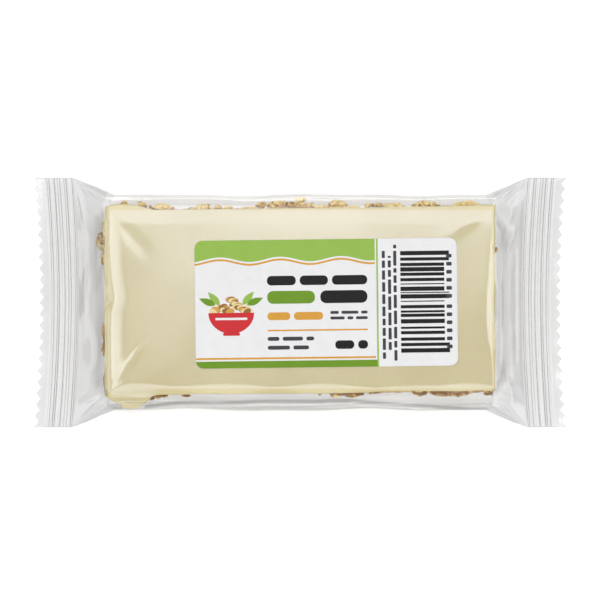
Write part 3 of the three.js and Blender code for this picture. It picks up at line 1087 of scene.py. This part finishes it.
def moved(outline, x, y, turn):
    """An outline that is turned round the origin and then moved to (x, y)."""
    c, s = math.cos(turn), math.sin(turn)
    return [(x + a * c - b * s, y + a * s + b * c) for a, b in outline]


def oval(half_length, half_width):
    turns = [2 * math.pi * k / OVAL_POINTS for k in range(OVAL_POINTS)]
    return [(half_length * math.cos(turn), half_width * math.sin(turn)) for turn in turns]


def grain(length, width):
    """A pointed seed that starts at the origin."""
    shares = [k / GRAIN_STEPS for k in range(GRAIN_STEPS + 1)]
    upper = [(length * share, width / 2 * math.sin(math.pi * share**0.8)) for share in shares]
    return upper + [(a, -b) for a, b in upper[-2:0:-1]]


def counter_clockwise(outline):
    doubled = sum(x0 * y1 - x1 * y0 for (x0, y0), (x1, y1) in zip(outline, outline[1:] + outline[:1]))
    return outline if doubled > 0 else outline[::-1]


def print_shapes():
    """The print as (ink, outline) pairs, from the bottom up."""
    half_length, half_width = LABEL["length"] / 2, LABEL["width"] / 2
    left, top, bottom = -half_length, half_width, -half_width
    edge = DIVIDER[0] - 0.4

    def head_line(drop):
        height, length = HEAD_WAVE
        xs = np.linspace(left - 1, edge, 57)
        return [(x, HEAD - drop + height * math.sin(2 * math.pi * x / length)) for x in xs]

    return [
        ("white", rounded(left, bottom, half_length, top, LABEL["corner"], 6)),
        ("gold", head_line(0.55 + LINE) + head_line(0.55)[::-1]),
        ("green", head_line(0) + [(edge, top + 1), (left - 1, top + 1)]),
        ("green_dark", rounded(left - 1, bottom - 1, DIVIDER[0], FOOT)),
        ("gold", rounded(left - 1, FOOT + 0.5, edge, FOOT + 0.5 + LINE)),
        ("green", rounded(DIVIDER[0], bottom - 1, DIVIDER[1], top + 1)),
        *bowl_shapes(),
        *wording_shapes(),
        *code_shapes(),
    ]


def bowl_shapes():
    """A red bowl heaped with flakes, in front of four leaves."""
    rng = random.Random(SEED + 3)
    x, rim = BOWL["x"], BOWL["rim"]
    shapes = []
    for turn, ink in LEAVES:
        shapes.append((ink, moved(grain(5.4, 2.1), x + 5.2 * math.cos(turn), rim + 2.4, turn)))
    heap = []
    for k in range(HEAP["flakes"]):
        away = (k * 0.618) % 1.0 * 2 - 1
        up = (1 - away**2) * ((k * 0.755) % 1.0) + 0.3 / HEAP["height"]
        heap.append((rim + HEAP["height"] * up, x + HEAP["half_width"] * away * (1 - 0.3 * up)))
    for k, (y, along) in enumerate(sorted(heap, reverse=True)):
        flake = oval(rng.uniform(1.2, 1.6), rng.uniform(0.75, 1.0))
        shapes.append((("tan", "brown", "cream")[k % 3], moved(flake, along, y, rng.uniform(-0.7, 0.7))))
    turns = np.linspace(math.pi, 2 * math.pi, 21)
    under = [(BOWL["half_width"] * math.cos(turn), BOWL["depth"] * math.sin(turn)) for turn in turns]
    shapes.append(("red", moved(under, x, rim, 0)))
    shapes.append(("red", rounded(x - 2.6, rim - 7.0, x + 2.6, rim - 6.1, 0.4)))
    shapes.append(("white", rounded(x - 4.9, rim - 2.2, x + 4.9, rim - 1.5, 0.35)))
    return shapes


def wording_shapes():
    """Rows of round-ended bars where the wording goes."""
    rows = (
        ("black", 5.6, 2.9, ((-18.0, -9.2), (-8.0, 0.6), (1.8, 12.6))),
        ("green_dark", 0.0, 3.9, ((-18.0, -3.4),)),
        ("black", 0.0, 3.9, ((-1.8, 12.6),)),
        ("gold", -5.0, 2.4, ((-18.0, -11.0), (-9.9, -1.0))),
        ("grey", -5.0, 0.9, ((1.2, 5.6), (6.4, 8.2), (9.0, 12.6))),
        ("grey", -3.3, 0.9, ((1.2, 3.8), (4.6, 9.8), (10.6, 12.6))),
        ("gold", -8.4, 0.5, ((-18.0, 12.6),)),
        ("grey", -11.3, 1.2, ((-18.0, -14.4), (-13.4, -7.2), (-6.2, -3.8))),
        ("grey", -14.0, 1.2, ((-18.0, -11.2), (-10.2, -5.4))),
        ("black", -14.0, 2.6, ((2.6, 8.4), (9.6, 12.6))),
    )
    shapes = []
    for ink, low, height, spans in rows:
        for start, end in spans:
            shapes.append((ink, rounded(start, low, end, low + height, height * 0.45)))
    return shapes


def code_shapes():
    """Lines of small print and a bar code, all turned on their side."""
    rng = random.Random(SEED + 11)
    shapes = []
    for x, y, high in SMALL_PRINT:
        while y < high:
            length = min(rng.uniform(1.4, 4.6), high - y)
            if length > 0.5:
                shapes.append(("grey", rounded(x, y, x + 0.95, y + length, 0.2, 2)))
            y += length + 0.75
    y, bars = CODE["low"], []
    while y < CODE["high"] - 0.1:
        thick = CODE["module"] * rng.choice((1, 1, 2, 2, 3, 4))
        bars.append((y, min(y + thick, CODE["high"])))
        y += thick + CODE["module"] * rng.choice((1, 1, 2, 2, 3))
    last = len(bars) - 1
    guards = (0, 1, (last + 1) // 2, (last + 1) // 2 + 1, last - 1, last)
    for k, (low, high) in enumerate(bars):
        right = CODE["guard_right"] if k in guards else CODE["right"]
        shapes.append(("black", rounded(CODE["left"], low, right, high)))
    for k in range(12):
        low = -14.2 + k * 2.45 + (0.7 if k >= 6 else 0)
        shapes.append(("grey", rounded(36.7, low, 38.4, low + 1.15, 0.3, 2)))
    return shapes


INKS = {
    "white": srgb(217, 217, 218),
    "green": srgb(135, 170, 70),
    "green_dark": srgb(96, 134, 24),
    "gold": srgb(198, 144, 52),
    "red": srgb(186, 34, 40),
    "black": srgb(7, 7, 8),
    "grey": srgb(50, 50, 54),
    "tan": srgb(190, 146, 76),
    "brown": srgb(132, 92, 42),
    "cream": srgb(214, 196, 142),
}


def make_label():
    """The label as one closed sheet, whose upper side is divided along the print's outlines."""
    shapes = print_shapes()
    coords, polygons = [], []
    for _, outline in shapes:
        polygons.append(list(range(len(coords), len(coords) + len(outline))))
        coords.extend(Vector(point) for point in counter_clockwise(outline))
    grid = product(np.arange(-39, 39.1, LABEL_STEP), np.arange(-18.4, 18.5, LABEL_STEP))
    coords.extend(Vector(point) for point in grid)
    verts, _, faces, _, _, sources = geometry.delaunay_2d_cdt(coords, [], polygons, 1, 1e-5, True)
    names = list(INKS)
    kept = [(face, max(source)) for face, source in zip(faces, sources) if 0 in source]
    inks = [names.index(shapes[topmost][0]) for _, topmost in kept]

    used = sorted({i for face, _ in kept for i in face})
    renumber = {old: new for new, old in enumerate(used)}
    flat = (verts[i] for i in used)
    x, y = np.array(moved(flat, LABEL["x"], LABEL["y"], math.radians(LABEL["turn"]))).T
    relief = top_relief(x, y)
    points = np.concatenate([np.column_stack([x, y, z + relief]) for z in (LABEL_HIGH[2], LABEL_LOW[2])])
    count = len(used)
    faces = [tuple(renumber[i] for i in face) for face, _ in kept]
    edges = dict.fromkeys(edge for face in faces for edge in zip(face, face[1:] + face[:1]))
    under = [tuple(i + count for i in reversed(face)) for face in faces]
    sides = [(b, a, a + count, b + count) for a, b in edges if (b, a) not in edges]
    faces += under + sides
    inks += [names.index("white")] * (len(faces) - len(inks))
    materials = [ink_material(f"ink_{name}", colour) for name, colour in INKS.items()]
    piece = mesh_piece("label_print", points, faces, materials, shade_smooth=False, indices=inks)
    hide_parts("label")


# ----------------------------------------
# The stage, the lights and the camera.

CAMERA_HEIGHT = 0.942
CAMERA_Y = 0.00077
FRAME_WIDTH = 0.1845  # what the picture takes in, at the height of the fins
FLOOR_HALF = 3.0
AIM = (0, 0, 0.008)  # what the lights face
# Soft boxes: name, place, size and radiance.
LIGHTS = (
    ("fill", (0.0, 0.03, 1.6), (0.8, 0.8), 10.5),
    ("overhead_near", (0.0, 0.0765, 1.25), (0.2, 0.109), 4.0),
    ("overhead_left", (-0.12, -0.03, 1.25), (0.14, 0.16), 1.5),
    ("overhead_far", (0.0, 0.37, 1.25), (0.9, 0.5), 4.0),
    ("left", (-0.5, -0.04, 1.12), (0.5, 0.32), 4.5),
    ("right", (0.5, -0.04, 1.12), (0.5, 0.32), 4.3),
    ("left_mid", (-0.92, -0.04, 0.86), (0.5, 0.4), 2.0),
    ("right_mid", (0.92, -0.04, 0.86), (0.5, 0.4), 2.0),
    ("front", (0.0, -0.44, 0.98), (1.0, 0.26), 3.0),
    ("front_low", (0.0, -1.0, 0.16), (1.5, 0.22), 2.6),
    ("back", (0.0, 1.0, 0.42), (1.5, 0.6), 5.0),
    ("left_low", (-0.95, 0.05, 0.21), (1.1, 0.3), 2.0),
    ("right_low", (0.95, 0.05, 0.21), (1.1, 0.3), 2.0),
)
LAMPS = ("fill", "front_low")  # these light the scene, and the others only show in reflections
UNREFLECTED = ("fill",)


def make_lights():
    for name, place, size, radiance in LIGHTS:
        data = bpy.data.lights.new(name, "AREA")
        data.shape = "RECTANGLE"
        data.size, data.size_y = size
        data.energy = math.pi * size[0] * size[1] * radiance
        light = bpy.data.objects.new(name, data)
        light.location = place
        light.rotation_euler = (Vector(AIM) - Vector(place)).to_track_quat("-Z", "Y").to_euler()
        light.visible_diffuse = name in LAMPS
        light.visible_glossy = name not in UNREFLECTED
        bpy.context.scene.collection.objects.link(light)


def make_stage():
    corners = [(x * FLOOR_HALF, y * FLOOR_HALF, 0) for x, y in ((-1, -1), (1, -1), (1, 1), (-1, 1))]
    mesh = bpy.data.meshes.new("floor")
    mesh.from_pydata(corners, [], [(0, 1, 2, 3)])
    mesh.materials.append(floor_material())
    floor = bpy.data.objects.new("floor", mesh)
    bpy.context.scene.collection.objects.link(floor)

    world = bpy.data.worlds.new("studio")
    world.use_nodes = True
    tree = world.node_tree
    height = add_node(tree, "SeparateXYZ", {"Vector": add_node(tree, "TexCoord", {}, "Generated")}, "Z")
    sky = ramp_node(tree, height, greys((0.0, 0.8), (0.12, 0.6), (0.3, 0.42), (0.8, 0.3)))
    tree.links.new(sky, tree.nodes["Background"].inputs["Color"])
    bpy.context.scene.world = world


def make_camera():
    data = bpy.data.cameras.new("camera")
    camera = bpy.data.objects.new("camera", data)
    camera.location = (0, CAMERA_Y, CAMERA_HEIGHT)
    data.sensor_width = 36
    data.lens = data.sensor_width * (CAMERA_HEIGHT - MIDDLE_Z * MM) / FRAME_WIDTH
    data.clip_end = 20
    bpy.context.scene.collection.objects.link(camera)
    bpy.context.scene.camera = camera


def main():
    bpy.context.scene.view_settings.view_transform = "Standard"
    make_camera()
    make_stage()
    make_lights()
    make_film()
    # The block has the oats' own colour, made darker than the flakes' as painted shade in the crevices
    # between flakes, where the block shows.
    make_oat_base(oat_material("oat_block_crevice_shade", srgb(98, 62, 22), srgb(166, 124, 68), srgb(214, 182, 124)))
    make_flakes(oat_material("baked_oats", srgb(118, 77, 18), srgb(206, 165, 90), srgb(243, 224, 164)))
    make_coating(coating_material())
    make_label()


main()
